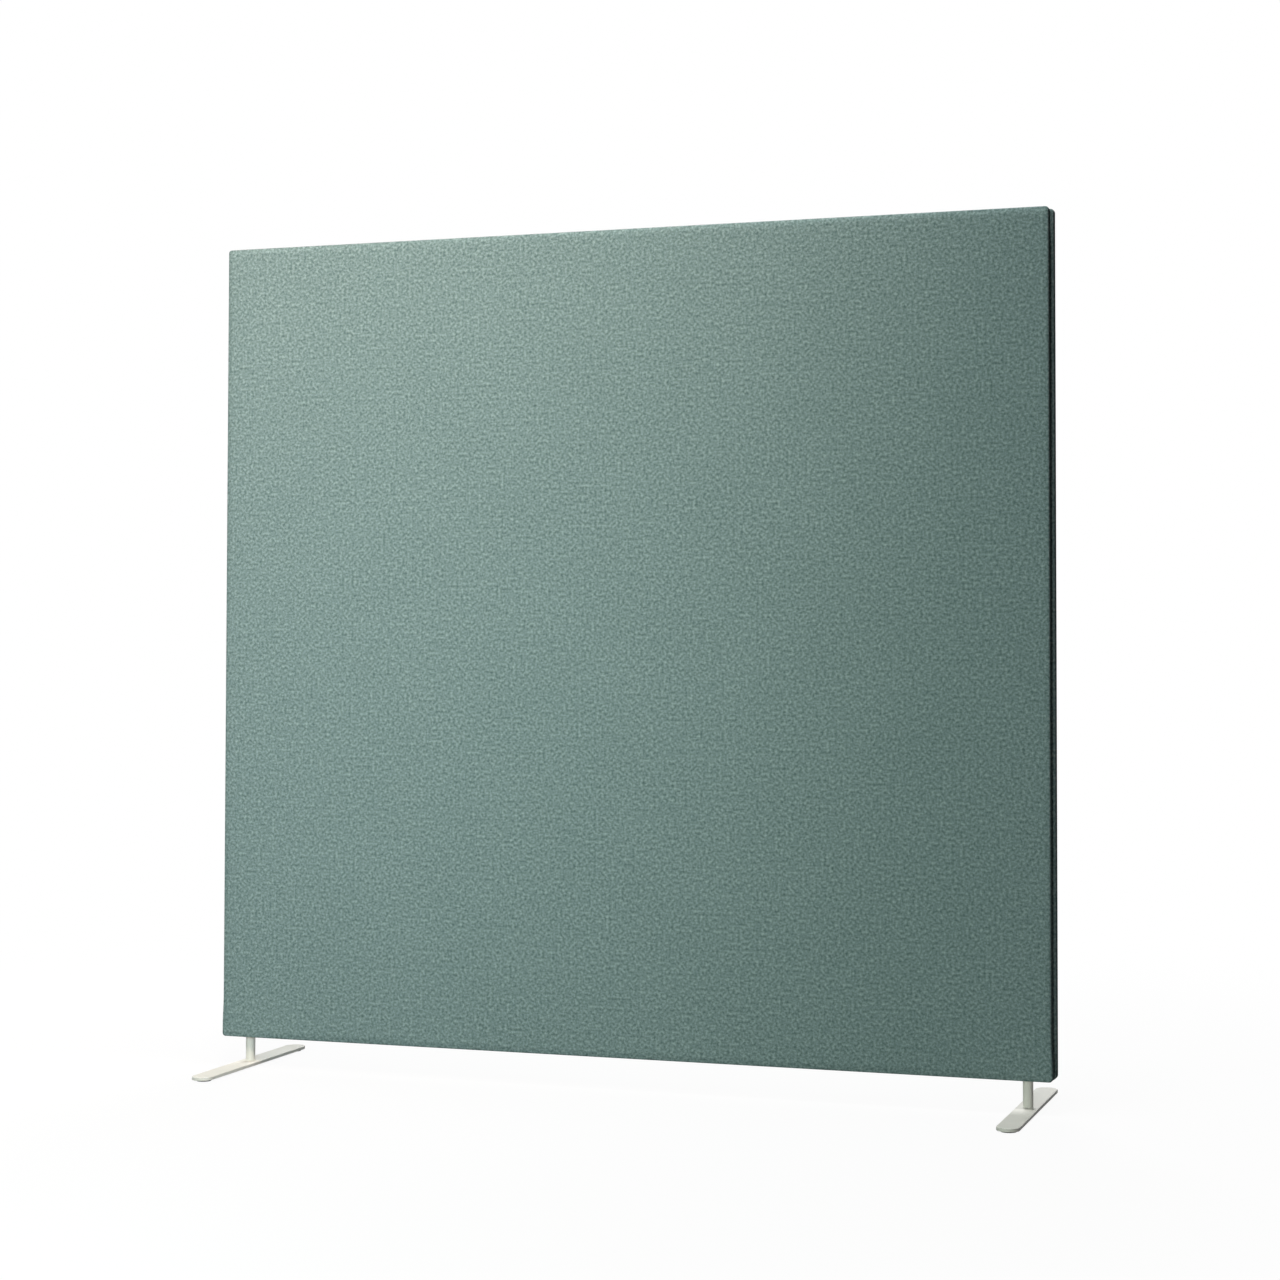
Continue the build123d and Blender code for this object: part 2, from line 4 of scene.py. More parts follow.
import bmesh
import bpy
import numpy as np
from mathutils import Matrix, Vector


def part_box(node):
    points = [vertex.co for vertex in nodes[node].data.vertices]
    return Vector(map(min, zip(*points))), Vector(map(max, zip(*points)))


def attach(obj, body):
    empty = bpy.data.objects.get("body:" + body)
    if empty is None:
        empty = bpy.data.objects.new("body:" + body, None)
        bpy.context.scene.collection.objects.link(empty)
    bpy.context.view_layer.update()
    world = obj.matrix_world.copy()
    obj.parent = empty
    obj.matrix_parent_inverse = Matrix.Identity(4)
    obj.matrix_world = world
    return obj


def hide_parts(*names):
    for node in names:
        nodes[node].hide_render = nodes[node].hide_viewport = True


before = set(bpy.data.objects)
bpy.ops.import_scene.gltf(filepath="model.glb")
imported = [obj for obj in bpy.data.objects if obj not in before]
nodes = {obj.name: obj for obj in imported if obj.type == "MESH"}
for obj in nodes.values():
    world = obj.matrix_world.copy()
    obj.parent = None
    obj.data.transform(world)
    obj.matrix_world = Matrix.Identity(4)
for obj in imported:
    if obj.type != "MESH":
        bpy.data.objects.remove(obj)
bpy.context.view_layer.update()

scene = bpy.context.scene
MM = 0.001
HALVES = {"front": -1, "rear": 1}

# The panel's sizes, as built
cover_low, cover_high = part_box("front_cover")
post_low, post_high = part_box("right_foot_post")
HALF_WIDTH = cover_high.x
HALF_THICKNESS = -cover_low.y
UNDERSIDE = cover_low.z
TOP = cover_high.z
MIDDLE_Z = (TOP + UNDERSIDE) / 2
POST_X = (post_low.x + post_high.x) / 2
EYELET_HOLE = 10.4 * MM  # radius

# The cover's own sizes
CLOTH = 1.4 * MM  # thickness
CORNER = 6 * MM  # radius of a corner, seen from the front
EDGE = 5 * MM  # radius from the face to a side
FACE_X = HALF_WIDTH - EDGE
FACE_Z = (TOP - UNDERSIDE) / 2 - EDGE
CORNER_X = HALF_WIDTH - CORNER
CORNER_Z = (TOP - UNDERSIDE) / 2 - CORNER
CROWN = 1.5 * MM  # how far the face stands out over its middle
PILLOW = 1.2 * MM  # how far it falls back at its edge
PILLOW_REACH = 8 * MM  # from the edge inwards
REAR_PROUD = 1.2 * MM  # how far the rear half's sides and top stand out
FRONT_SHY = 1.8 * MM  # how far the front half's sides are drawn in
SHIFT_REACH = 30 * MM  # from a side inwards
SHIFT_FADE = 60 * MM  # from the groove's lower end upwards
REAR_CUT = 3.0  # how far along the bolt of cloth the rear half is cut, from the front half

# The groove between the halves, and the zip in it
GROOVE = 7.5 * MM  # half of its width
GROOVE_END = UNDERSIDE + 12 * MM + GROOVE  # where its round lower end starts
LIP = 4.5 * MM  # radius of the rolled lip along the groove
SEAM_LIP = 1.6 * MM  # the same where the halves are sewn together
SEAM_GAP = 0.05 * MM  # half of what stays open there
SEAM_WALL = 0.02 * MM  # how far the cloth goes on there past its lip
TAPE_DEPTH = 7.9 * MM  # under the panel's sides and top
TAPE_END = UNDERSIDE + 6 * MM
TAPE_OUTSIDE = 12.0 * MM  # its outer edge, from the panel's mid-plane
ZIP_DEPTH = 8.2 * MM  # of the rows of teeth
ZIP_BEND = 20.5 * MM  # radius at the top corners, measured at the panel's sides
NOSE_Z = UNDERSIDE + 46 * MM  # the slider's lower end
SPLIT_Z = NOSE_Z + 11 * MM  # where the rows part inside it
SPREAD = 1.7 * MM  # how far each row is pushed aside at the slider's lower end
ROW_INSIDE = 0.15 * MM  # a row's inner edge, from the mid-plane
ROW_OUTSIDE = 3.1 * MM
CORD_EDGE = ROW_OUTSIDE - 0.9 * MM  # where a tape starts beside its row
BARE_TAPE_EDGE = ROW_OUTSIDE - 2.2 * MM  # the same below the row's end
LEFT_ROWS_END = NOSE_Z - 6 * MM
RIGHT_ROWS_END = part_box("zip_end_box")[0].z - 0.5 * MM


# Shader maths: a wrapped socket that adds Math nodes, and a finish that adds any other node
class Wire:
    """A shader socket that can be used in a sum."""

    def __init__(self, finish, socket):
        self.finish, self.socket = finish, socket

    def output(self, key):
        """Another output of the same node."""
        return Wire(self.finish, self.socket.node.outputs[key])

    def __add__(self, other):
        return self.finish.maths("ADD", self, other)

    def __sub__(self, other):
        return self.finish.maths("SUBTRACT", self, other)

    def __rsub__(self, other):
        return self.finish.maths("SUBTRACT", other, self)

    def __mul__(self, other):
        return self.finish.maths("MULTIPLY", self, other)

    def __truediv__(self, other):
        return self.finish.maths("DIVIDE", self, other)

    def __rtruediv__(self, other):
        return self.finish.maths("DIVIDE", other, self)

    def __pow__(self, other):
        return self.finish.maths("POWER", self, other)

    def __rpow__(self, other):
        return self.finish.maths("POWER", other, self)

    __radd__, __rmul__ = __add__, __mul__


class Finish:
    """A material under construction, or a world."""

    def __init__(self, name, kept_in=bpy.data.materials):
        self.owner = kept_in.new(name)
        self.owner.use_nodes = True
        self.tree = self.owner.node_tree
        self.tree.nodes.clear()

    def node(self, kind, settings=None, sockets=None, out=0):
        """Adds a node, sets it up, fills its sockets with values or wires, and wraps an output if asked."""
        made = self.tree.nodes.new("ShaderNode" + kind)
        for key, value in (settings or {}).items():
            if key == "stops":
                ramp = made.color_ramp.elements
                while len(ramp) < len(value):
                    ramp.new(0.5)
                for stop, (place, colour) in zip(ramp, value):
                    stop.position, stop.color = place, (*colour, 1)
            else:
                setattr(made, key, value)
        for key, value in (sockets or {}).items():
            if isinstance(value, Wire):
                self.tree.links.new(value.socket, made.inputs[key])
            else:
                made.inputs[key].default_value = value
        return None if out is None else Wire(self, made.outputs[out])

    def maths(self, operation, *values):
        return self.node("Math", {"operation": operation}, dict(enumerate(values)))

    def place(self):
        """Where a point lies in the object's own frame."""
        return self.node("TexCoord", out="Object")

    def on_cloth(self):
        """Where a point lies on the flat cloth, in metres."""
        return self.node("Attribute", {"attribute_name": "weave"}, out="Vector")

    def stretched(self, vector, scale):
        return self.node("Mapping", None, {"Vector": vector, "Scale": scale})

    def noise(self, vector, scale, detail=2.0, roughness=0.5):
        sockets = {"Vector": vector, "Scale": scale, "Detail": detail, "Roughness": roughness}
        return self.node("TexNoise", None, sockets)

    def clamp(self, value, low, high, to_low=0.0, to_high=1.0, smooth=False):
        return self.node(
            "MapRange",
            {"interpolation_type": "SMOOTHSTEP" if smooth else "LINEAR"},
            {"Value": value, "From Min": low, "From Max": high, "To Min": to_low, "To Max": to_high},
        )

    def spread(self, noise, to_low=0.0, to_high=1.0):
        """Draws the middle of a noise, where most of its values lie, out over a range."""
        return self.clamp(noise, 0.3, 0.7, to_low, to_high)

    def either(self, share, first, second):
        """Blends two numbers."""
        return self.node("Mix", {"data_type": "FLOAT"}, {0: share, 2: first, 3: second})

    def mixed(self, share, first, second):
        """Blends two colours."""
        made = self.tree.nodes.new("ShaderNodeMix")
        made.data_type = "RGBA"
        for socket, value in zip((made.inputs[0], made.inputs[6], made.inputs[7]), (share, first, second)):
            if isinstance(value, Wire):
                self.tree.links.new(value.socket, socket)
            else:
                socket.default_value = (*value, 1)
        return Wire(self, made.outputs[2])

    def bump(self, height, distance, strength):
        return self.node("Bump", None, {"Height": height, "Distance": distance, "Strength": strength})

    def surface(self, **sockets):
        """Ends the material in one shader. Names use _ for a space."""
        named = {key.replace("_", " "): value for key, value in sockets.items()}
        return self.ended(self.node("BsdfPrincipled", None, named))

    def ended(self, shader, kind="OutputMaterial"):
        self.node(kind, None, {"Surface": shader}, None)
        return self.owner


def shade(*channels):
    """A colour as it is read off a screen, 0 to 255, made linear."""
    screen = [c / 255 for c in channels]
    return tuple(c / 12.92 if c <= 0.04045 else ((c + 0.055) / 1.055) ** 2.4 for c in screen)


# The melange: sizes of its yarns, the means of what its tone is made of, and how strongly each part tells,
# the yarns' rounding among them as painted shade
YARN = 1.3 * MM
YARN_SWAY = 1.1 * MM
FLECKS_PER_METRE = 210.0
MEAN_NOISE = 0.5
MEAN_HIGH = 0.47  # of the root of the top yarn's height
MEAN_LOW = 0.25
FLECK_SHARE, CLUMP_SHARE, SLUB_SHARE, CLOUD_SHARE = 0.34, 1.15, 0.1, 0.05
# the first two are painted shade from the yarns' rounding
HIGH_SHADE_SHARE, LOW_SHADE_SHARE, FUZZ_SHARE = 0.38, 0.25, 0.2
TONE_REACH = 0.42


def melange(name, dark, mid, light):
    """A plain weave of flecked yarns: warp and weft show by turns, each streaked along itself, with painted
    shade at the yarns' edges.
    """
    f = Finish(name)
    place = f.on_cloth()
    sway = f.noise(place, 240.0, 1.0).output("Color")
    swayed = f.node("VectorMath", {"operation": "MULTIPLY_ADD"}, {0: sway, 1: (YARN_SWAY,) * 3, 2: place})
    across = f.node("SeparateXYZ", None, {0: swayed})
    along = across.output(1)
    warp_no = f.maths("FLOOR", across / YARN)
    weft_no = f.maths("FLOOR", along / YARN)
    weft_on_top = f.maths("PINGPONG", warp_no + weft_no, 1.0)

    # Flecks along each yarn, soft clumps of them, thick stretches of yarn and a faint cloud
    warp_at = f.node("CombineXYZ", None, {0: warp_no * 7.3, 1: along * FLECKS_PER_METRE})
    weft_at = f.node("CombineXYZ", None, {0: across * FLECKS_PER_METRE, 1: weft_no * 5.7, 2: 40.0})
    fleck = f.either(weft_on_top, f.noise(warp_at, 1.0, 0.0), f.noise(weft_at, 1.0, 0.0))
    clump = f.noise(place, 200.0, 1.5, 0.55)
    slub = f.noise(f.node("CombineXYZ", None, {0: across * 9.0, 1: weft_no * 1.7}), 1.0, 1.0)
    cloud = f.noise(place, 6.0)

    # The rounding of the yarn on top, the same of the yarn below, and loose fibre. The roundings also paint
    # shade into the tone: lighter on each yarn's crown, darker towards its edges and in the gaps between
    # yarns
    warp_round = f.maths("PINGPONG", across / YARN, 0.5)
    weft_round = f.maths("PINGPONG", along / YARN, 0.5)
    high = f.either(weft_on_top, warp_round, weft_round)
    low = f.either(weft_on_top, weft_round, warp_round)
    fuzz = f.noise(place, 2600.0, 2.0, 0.7)

    tone = (fleck - MEAN_NOISE) * FLECK_SHARE + (clump - MEAN_NOISE) * CLUMP_SHARE
    tone = tone + (slub - MEAN_NOISE) * SLUB_SHARE + (cloud - MEAN_NOISE) * CLOUD_SHARE
    # Painted shade: the yarns' roundings lighten their crowns and darken their edges and the gaps between
    # them
    tone = tone + (high ** 0.5 - MEAN_HIGH) * HIGH_SHADE_SHARE + (low - MEAN_LOW) * LOW_SHADE_SHARE
    tone = tone + (fuzz - MEAN_NOISE) * FUZZ_SHARE
    share = f.clamp(tone, -TONE_REACH, TONE_REACH)
    return f.surface(
        Base_Color=f.node("ValToRGB", {"stops": [(0.0, dark), (0.5, mid), (1.0, light)]}, {0: share}),
        Roughness=f.spread(fleck, 0.86, 0.96),
        Normal=f.bump(high ** 0.6 + low * 0.5 + fuzz * 0.4, 0.35 * MM, 0.7),
        Specular_IOR_Level=0.0,
    )


def powder_coat(name, darker, lighter):
    """Pale paint with a faint orange peel."""
    f = Finish(name)
    place = f.place()
    peel = f.noise(place, 900.0, 2.0, 0.4)
    patch = f.noise(place, 14.0)
    return f.surface(
        Base_Color=f.mixed(f.spread(patch), darker, lighter),
        Roughness=f.spread(patch, 0.46, 0.56),
        Normal=f.bump(peel, 0.05 * MM, 0.35),
        Specular_IOR_Level=0.15,
    )


def brushed(name, colour, roughness, scratch=(1, 1, 30)):
    """Metal with fine lines along one way and a faint tarnish."""
    f = Finish(name)
    place = f.place()
    lines = f.noise(f.stretched(place, scratch), 1400.0, 3.0, 0.6)
    tarnish = f.noise(place, 90.0, 3.0)
    darker = tuple(0.72 * c for c in colour)
    return f.surface(
        Base_Color=f.mixed(f.clamp(tarnish, 0.35, 0.75), colour, darker),
        Metallic=1.0,
        Roughness=f.clamp(lines + tarnish, 0.6, 1.4, roughness - 0.08, roughness + 0.12),
        Normal=f.bump(lines, 0.02 * MM, 0.3),
    )


def moulded(name, colour, roughness, grain=700.0):
    """Plain moulded plastic with a fine spark texture."""
    f = Finish(name)
    place = f.place()
    spark = f.noise(place, grain, 2.0, 0.6)
    flow = f.noise(place, 40.0, 1.0)
    darker = tuple(0.86 * c for c in colour)
    return f.surface(
        Base_Color=f.mixed(f.spread(flow), colour, darker),
        Roughness=f.spread(spark, roughness - 0.06, roughness + 0.08),
        Normal=f.bump(spark, 0.03 * MM, 0.4),
    )


def planed(name, pale, dark, along, ring_scale):
    """Planed timber with growth rings drawn out along the piece."""
    f = Finish(name)
    place = f.place()
    drawn = f.stretched(place, along)
    wobble = f.noise(drawn, 7.0, 3.0)
    rings = f.node(
        "TexWave",
        {"wave_type": "RINGS", "rings_direction": "SPHERICAL"},
        {"Vector": drawn, "Scale": ring_scale, "Distortion": 3.5, "Detail": 2.0, "Detail Scale": 1.2},
        "Fac",
    )
    fibre = f.noise(f.stretched(place, tuple(40 * c for c in along)), 30.0, 4.0, 0.65)
    tone = f.clamp(rings * 0.55 + fibre * 0.35 + wobble * 0.25, 0.2, 0.9)
    return f.surface(
        Base_Color=f.mixed(tone, pale, dark),
        Roughness=f.spread(fibre, 0.55, 0.75),
        Normal=f.bump(fibre, 0.08 * MM, 0.4),
    )


def pressed_board(name, dark, pale):
    """Hardboard: fine chips under a smooth skin."""
    f = Finish(name)
    chip = f.noise(f.place(), 260.0, 4.0, 0.7)
    return f.surface(
        Base_Color=f.mixed(f.spread(chip), dark, pale),
        Roughness=f.spread(chip, 0.5, 0.66),
        Normal=f.bump(chip, 0.05 * MM, 0.4),
    )


def fibrous(name, colour, darker):
    """Loose fibre: wadding and pressed slabs."""
    f = Finish(name)
    place = f.place()
    tuft = f.noise(f.stretched(place, (1, 3, 1)), 120.0, 5.0, 0.7)
    strand = f.noise(place, 1500.0, 3.0, 0.7)
    return f.surface(
        Base_Color=f.mixed(f.clamp(tuft + strand * 0.4, 0.4, 1.0), darker, colour),
        Roughness=f.clamp(strand, 0.2, 0.8, 0.9, 1.0),
        Normal=f.bump(tuft + strand * 0.5, 0.6 * MM, 0.7),
        Specular_IOR_Level=0.2,
    )


def twill(name, dark, pale):
    """Tape with slanting ribs."""
    f = Finish(name)
    place = f.on_cloth()
    rib = f.node(
        "TexWave",
        {"wave_type": "BANDS", "bands_direction": "DIAGONAL"},
        {"Vector": place, "Scale": 560.0, "Distortion": 0.6},
        "Fac",
    )
    lint = f.noise(place, 900.0)
    return f.surface(
        Base_Color=f.mixed(f.clamp(rib * 0.6 + lint * 0.6, 0.2, 1.0), dark, pale),
        Roughness=f.spread(lint, 0.74, 0.86),
        Normal=f.bump(rib, 0.12 * MM, 0.6),
    )


def spun(name, dark, pale):
    """Sewing thread."""
    f = Finish(name)
    ply = f.noise(f.place(), 2400.0, 1.0)
    return f.surface(
        Base_Color=f.mixed(f.spread(ply), dark, pale),
        Roughness=f.spread(ply, 0.5, 0.62),
        Normal=f.bump(ply, 0.05 * MM, 0.5),
    )


cover_fabric = melange("cover_fabric", shade(74, 96, 94), shade(121, 143, 141), shade(168, 188, 186))
foot_paint = powder_coat("foot_powder_coat", shade(224, 223, 214), shade(233, 231, 223))
zip_metal = brushed("zip_metal", (0.3, 0.32, 0.31), 0.5)
eyelet_metal = brushed("eyelet_metal", (0.72, 0.71, 0.66), 0.32, (30, 30, 1))
plated_steel = brushed("zinc_plate", (0.62, 0.64, 0.66), 0.4)
zip_teeth_plastic = moulded("zip_teeth", shade(78, 96, 90), 0.42)
glide_plastic = moulded("glide_pad", shade(66, 66, 64), 0.62, 400.0)
washer_plastic = moulded("nylon_washer", shade(232, 229, 218), 0.45)
upright_timber = planed("upright_timber", shade(222, 190, 142), shade(178, 132, 84), (1, 1, 0.06), 22.0)
level_timber = planed("level_timber", shade(224, 192, 144), shade(180, 134, 86), (0.06, 1, 1), 22.0)
dowel_beech = planed("dowel_beech", shade(216, 176, 130), shade(182, 134, 92), (1, 1, 0.1), 60.0)
hardboard = pressed_board("hardboard", shade(104, 74, 50), shade(142, 104, 72))
wadding_fibre = fibrous("wadding_fibre", shade(240, 240, 236), shade(214, 214, 208))
slab_fibre = fibrous("slab_fibre", shade(150, 152, 150), shade(104, 106, 104))
tape_weave = twill("zip_tape_weave", shade(62, 78, 73), shade(96, 114, 108))
sewing_thread = spun("sewing_thread", shade(84, 104, 98), shade(128, 148, 142))


def dress(material, *names):
    for name in names:
        for slot in nodes[name].material_slots:
            slot.material = material


for side in ("left", "right"):
    dress(foot_paint, f"{side}_foot_plate", f"{side}_foot_post")
    dress(plated_steel, f"{side}_foot_socket", f"{side}_foot_stud", f"{side}_foot_screw")
    dress(eyelet_metal, f"{side}_eyelet")
    dress(glide_plastic, f"{side}_foot_glides")
    dress(washer_plastic, f"{side}_friction_washer")
    dress(hardboard, f"{side}_septum")
dress(plated_steel, "socket_screws")
dress(zip_metal, "zip_slider", "zip_pull", "zip_top_stops", "zip_end_box")
dress(upright_timber, "left_stile", "centre_stile", "right_stile")
dress(level_timber, "top_rail", "bottom_rail")
dress(dowel_beech, "frame_dowels")


# Meshes in the shared frame
def added(name, data):
    made = bpy.data.objects.new(name, data)
    scene.collection.objects.link(made)
    return made


def mesh_object(name, points, faces, material, smooth=True, **attributes):
    """A mesh, with flat cloth coordinates if given."""
    mesh = bpy.data.meshes.new(name)
    mesh.from_pydata([tuple(p) for p in points], [], [tuple(f) for f in faces])
    for key, values in attributes.items():
        layer = mesh.attributes.new(key, "FLOAT_VECTOR", "POINT")
        layer.data.foreach_set("vector", np.asarray(values, np.float32).ravel())
    mesh.materials.append(material)
    if smooth:
        mesh.polygons.foreach_set("use_smooth", [True] * len(mesh.polygons))
    mesh.validate()
    mesh.update()
    return added(name, mesh)


def fix_normals(piece):
    work = bmesh.new()
    work.from_mesh(piece.data)
    bmesh.ops.recalc_face_normals(work, faces=work.faces)
    work.to_mesh(piece.data)
    work.free()


def grid_faces(columns, rows):
    starts = [j * columns + i for j in range(rows - 1) for i in range(columns - 1)]
    return [(a, a + 1, a + columns + 1, a + columns) for a in starts]


def grid_rim(columns, rows):
    """The grid's outer points in turn, from its first corner."""
    bottom = list(range(columns))
    right = [j * columns + columns - 1 for j in range(1, rows)]
    top = [(rows - 1) * columns + i for i in range(columns - 2, -1, -1)]
    left = [j * columns for j in range(rows - 2, 0, -1)]
    return bottom + right + top + left


def band(first, second):
    """The faces between two closed rings of points."""
    return list(zip(first, second, np.roll(second, -1), np.roll(first, -1)))


def eased(share):
    """A share from 0 to 1 that starts and ends gently."""
    share = np.clip(share, 0, 1)
    return share ** 2 * (3 - 2 * share)


# The cover's face, let out by the wadding: a membrane held along its edges
def crown_of_face(width, height):
    """How far the taut face stands out, as a grid of shares."""
    columns, rows = 56, 53
    xs = [width * (i / (columns - 1) - 0.5) for i in range(columns)]
    zs = [height * (j / (rows - 1) - 0.5) for j in range(rows)]
    points = [(x, 0, z) for z in zs for x in xs]
    sheet = mesh_object("membrane", points, grid_faces(columns, rows), cover_fabric)
    sheet.vertex_groups.new(name="rim").add(grid_rim(columns, rows), 1.0, "REPLACE")
    cloth = sheet.modifiers.new("Cloth", "CLOTH")
    cloth.settings.vertex_group_mass = "rim"
    cloth.settings.quality = 5
    cloth.settings.mass = 0.3
    cloth.settings.tension_stiffness = cloth.settings.compression_stiffness = 40
    cloth.settings.use_pressure = True
    cloth.settings.uniform_pressure_force = 0.6
    cloth.settings.effector_weights.gravity = 0
    last_frame = 20
    cloth.point_cache.frame_start, cloth.point_cache.frame_end = 1, last_frame
    for step in range(1, last_frame + 1):
        scene.frame_set(step)
    settled = sheet.evaluated_get(bpy.context.evaluated_depsgraph_get()).data
    moved = np.abs(np.array([v.co.y for v in settled.vertices])).reshape(rows, columns)
    scene.frame_set(1)
    bpy.data.objects.remove(sheet)
    return np.clip(moved / max(moved.max(), 1e-9), 0, 1)


crown = crown_of_face(2 * FACE_X, 2 * FACE_Z)


def crown_at(x, z):
    """The crown's share at places on the face, between the grid's values."""
    rows, columns = crown.shape
    u = np.clip((x / FACE_X + 1) / 2, 0, 1) * (columns - 1)
    v = np.clip((z / FACE_Z + 1) / 2, 0, 1) * (rows - 1)
    i = np.minimum(u.astype(int), columns - 2)
    j = np.minimum(v.astype(int), rows - 2)
    s, t = u - i, v - j
    below = crown[j, i] * (1 - s) + crown[j, i + 1] * s
    above = crown[j + 1, i] * (1 - s) + crown[j + 1, i + 1] * s
    return below * (1 - t) + above * t


# The cover: each half is a grid over the face, and rings round it that turn in to the groove
EDGE_LINES = np.array([0, 0.4, 1.0, 3.0, 6.0, 10.0, 15.5]) * MM  # from the face's edge inwards
PLAIN_INSET = 25.5 * MM
PLAIN_STEP = 11 * MM
CLOSEST_LINES = 0.25 * MM  # lines closer together than this are dropped
POST_LINES = [s * POST_X + k * 1.6 * MM for s in (-1, 1) for k in range(-8, 9)]
GROOVE_END_LINES = [GROOVE_END - GROOVE * sin(a) - MIDDLE_Z for a in np.linspace(0, pi / 2, 9)]
QUARTER_TURN = np.radians([18, 36, 54, 72, 90])


def face_lines(half, extra):
    """Where the face's grid lines run: close together by the edges, and at the given places."""
    plain = np.arange(-half + PLAIN_INSET, half - PLAIN_INSET + 1e-9, PLAIN_STEP)
    lines = np.concatenate([-half + EDGE_LINES, half - EDGE_LINES, plain, extra])
    lines = np.unique(np.round(lines, 7))
    keep = [lines[0]]
    for value in lines[1:]:
        if value - keep[-1] > CLOSEST_LINES:
            keep.append(value)
    return np.array(keep)


def rounded_grid(xs, zs):
    """The face's grid, with five points at each corner set on its rounding."""
    flat_x, flat_z = np.meshgrid(xs, zs)
    inner = CORNER - EDGE
    for sx, columns in ((-1, (0, 1, 2)), (1, (-1, -2, -3))):
        for sz, rows in ((-1, (0, 1, 2)), (1, (-1, -2, -3))):
            up_the_side = [(rows[k], columns[0]) for k in (2, 1, 0)]
            along_the_end = [(rows[0], columns[k]) for k in (1, 2)]
            for spot, angle in zip(up_the_side + along_the_end, np.linspace(0, pi / 2, 5)):
                flat_x[spot] = sx * (CORNER_X + inner * cos(angle))
                flat_z[spot] = sz * (CORNER_Z + inner * sin(angle))
    return flat_x, flat_z


def face_y(flat_x, flat_z):
    """How far the face stands from the mid-plane: crowned over its middle, falling back at its edge."""
    inset = np.minimum(FACE_X - np.abs(flat_x), FACE_Z - np.abs(flat_z))
    inset = np.clip(inset, 0, PILLOW_REACH)
    return HALF_THICKNESS + CROWN * crown_at(flat_x, flat_z) - PILLOW * (1 - inset / PILLOW_REACH) ** 2


def ways_out(rim):
    """The direction out of the panel at each point of the face's rim."""
    reach = np.abs(rim) - (CORNER_X, CORNER_Z)
    outward = np.where(reach > 1e-7, reach, 0) * np.sign(rim)
    return outward / np.linalg.norm(outward, axis=1)[:, None]


def groove_shape(rim):
    """Half of the gap, the lip's radius and the depth of the groove's wall, all round the rim."""
    height = rim[:, 1] + MIDDLE_Z
    below = np.clip((GROOVE_END - height) / GROOVE, 0, 1)
    open_share = np.sqrt(1 - below ** 2)
    open_share[rim[:, 1] < -CORNER_Z] = 0
    half_gap = np.maximum(GROOVE * open_share, SEAM_GAP)
    lip = SEAM_LIP + (LIP - SEAM_LIP) * open_share
    deep = height > GROOVE_END - GROOVE - LIP
    wall = np.where(deep, TAPE_DEPTH, lip + SEAM_WALL)
    return half_gap, lip, wall


def turn_in(half_gap, lip, wall):
    """The rings from the face's edge to the groove's floor: depth under the panel's side, and y."""
    level = np.ones_like(lip)
    shoulder = half_gap + lip
    rings = []
    for a in QUARTER_TURN:
        y = HALF_THICKNESS - EDGE + (EDGE - PILLOW) * cos(a)
        rings.append(((EDGE - EDGE * sin(a)) * level, y * level))
    for share in (0.3, 0.65, 1.0):
        rings.append((0 * level, (HALF_THICKNESS - EDGE) * (1 - share) + shoulder * share))
    for a in QUARTER_TURN:
        rings.append((lip - lip * cos(a), shoulder - lip * sin(a)))
    rings.append(((lip + wall) / 2, half_gap))
    rings.append((wall, half_gap))
    return rings


def round_the_corner(rim):
    """Which points turn a top corner, and where the zip's wider bend takes the groove's wall there."""
    corner = np.array([FACE_X, FACE_Z])
    reach = ZIP_BEND - EDGE
    near = np.abs(np.abs(rim) - corner)
    turning = (near.max(axis=1) < reach) & (rim[:, 1] > 0)
    angle = pi / 4 - (pi / 4) * (near[:, 1] - near[:, 0]) / reach
    ways = np.stack([np.cos(angle), np.sin(angle)], -1)
    return turning[:, None], (corner - reach + (ZIP_BEND - TAPE_DEPTH) * ways) * np.sign(rim)


def edge_shift(at, limit, out):
    """How far a place moves outwards: all of it at the limit, nothing well inside it."""
    return out * eased((np.abs(at) - limit + SHIFT_REACH) / SHIFT_REACH) * np.sign(at)


def half_shift(points, side):
    """Sets the halves' edges apart: the rear half's stand proud, the front half's sides sit shy."""
    moved = np.zeros_like(points)
    if side > 0:
        moved[:, 0] = edge_shift(points[:, 0], HALF_WIDTH, REAR_PROUD)
        moved[:, 2] = edge_shift(np.maximum(points[:, 2], 0), FACE_Z + EDGE, REAR_PROUD)
    else:
        above = eased((points[:, 2] + MIDDLE_Z - GROOVE_END) / SHIFT_FADE)
        moved[:, 0] = edge_shift(points[:, 0], HALF_WIDTH, -FRONT_SHY * above)
    return moved


def open_eyelets(points):
    """Pushes the underside's points out to the rims of the holes for the posts."""
    for post in ((-POST_X, 0), (POST_X, 0)):
        off = points[:, :2] - post
        far = np.linalg.norm(off, axis=1)
        hit = (points[:, 2] < -FACE_Z - EDGE / 2) & (far < EYELET_HOLE)
        points[hit, :2] = post + off[hit] / np.maximum(far[hit], 1e-9)[:, None] * EYELET_HOLE


def thickened(name, points, weave, faces, hem):
    """A closed cloth: the outer skin, the same set inwards, and a strip between them at the hem."""
    skin = mesh_object(name, points, faces, cover_fabric)
    normals = np.array([v.normal for v in skin.data.vertices])
    bpy.data.objects.remove(skin)
    count = len(points)
    inside = [tuple(v + count for v in face[::-1]) for face in faces]
    cloth = mesh_object(
        name,
        np.vstack([points, points - normals * CLOTH]),
        faces + inside + band(hem, hem + count),
        cover_fabric,
        weave=np.vstack([weave, weave]),
    )
    fix_normals(cloth)
    return cloth


